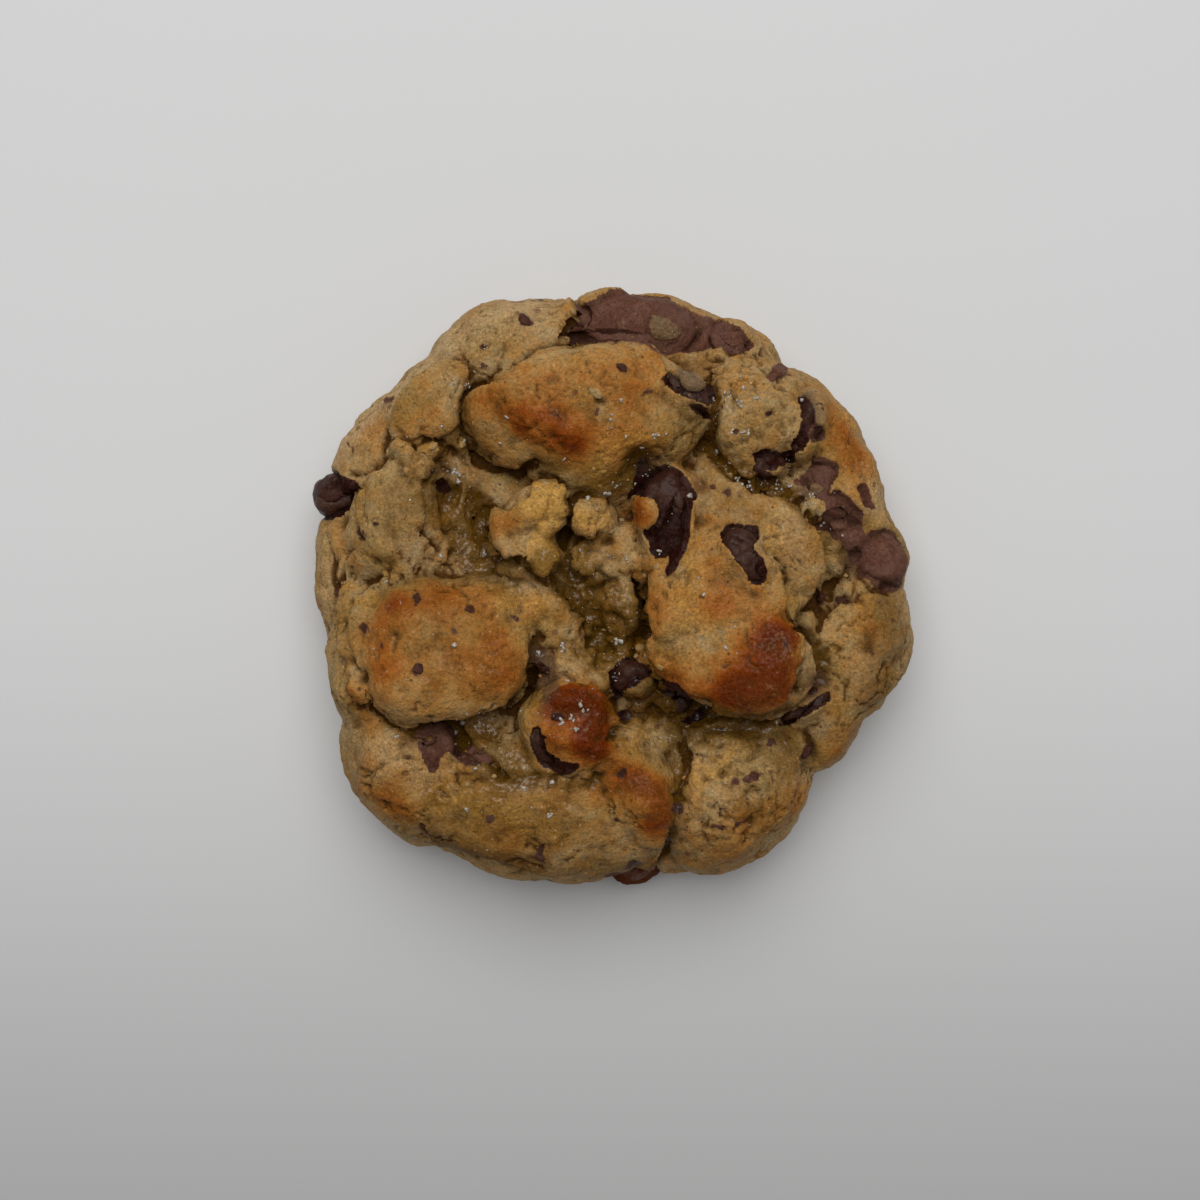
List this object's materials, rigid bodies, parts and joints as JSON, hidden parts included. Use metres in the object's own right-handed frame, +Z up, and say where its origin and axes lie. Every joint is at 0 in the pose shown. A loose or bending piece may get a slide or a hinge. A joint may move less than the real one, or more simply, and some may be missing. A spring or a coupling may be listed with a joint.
{
  "type": "chocolate chip cookie",
  "caption": "Thick round cookie of lumpy browned dough with chips and slabs of milk and dark chocolate set in its top and rim; flat underneath.",
  "frame": {"origin": "on the surface it rests on, under the middle of the cookie", "axes": "+Z up, out of the cookie's top; +Y towards the far side in the picture, +X to its right"},
  "size_m": [0.1002, 0.0998, 0.0343],
  "materials": {
    "dough": "baked cookie dough, sandy with a slight buttery sheen, browned on its high places",
    "milk_chocolate": "milk chocolate, dull where it set after melting",
    "dark_chocolate": "dark chocolate, smooth and glossy where it melted"
  },
  "bodies": {
    "root": {"dough": "dough", "milk_slab_far": "milk_chocolate", "milk_slab_end": "milk_chocolate", "milk_chunk_right": "milk_chocolate", "milk_patch_right": "milk_chocolate", "milk_chunk_crevice": "milk_chocolate", "milk_chunk_crevice_end": "milk_chocolate", "milk_chunk_near": "milk_chocolate", "dark_chip_left": "dark_chocolate", "dark_chip_middle": "dark_chocolate", "dark_shard": "dark_chocolate", "dark_arc": "dark_chocolate", "dark_arc_end": "dark_chocolate", "dark_chip_far": "dark_chocolate", "dark_chip_brown_lump": "dark_chocolate", "dark_chip_pit": "dark_chocolate", "dark_chip_pit_end": "dark_chocolate", "dark_slab_under": "dark_chocolate"}
  },
  "joints": []
}
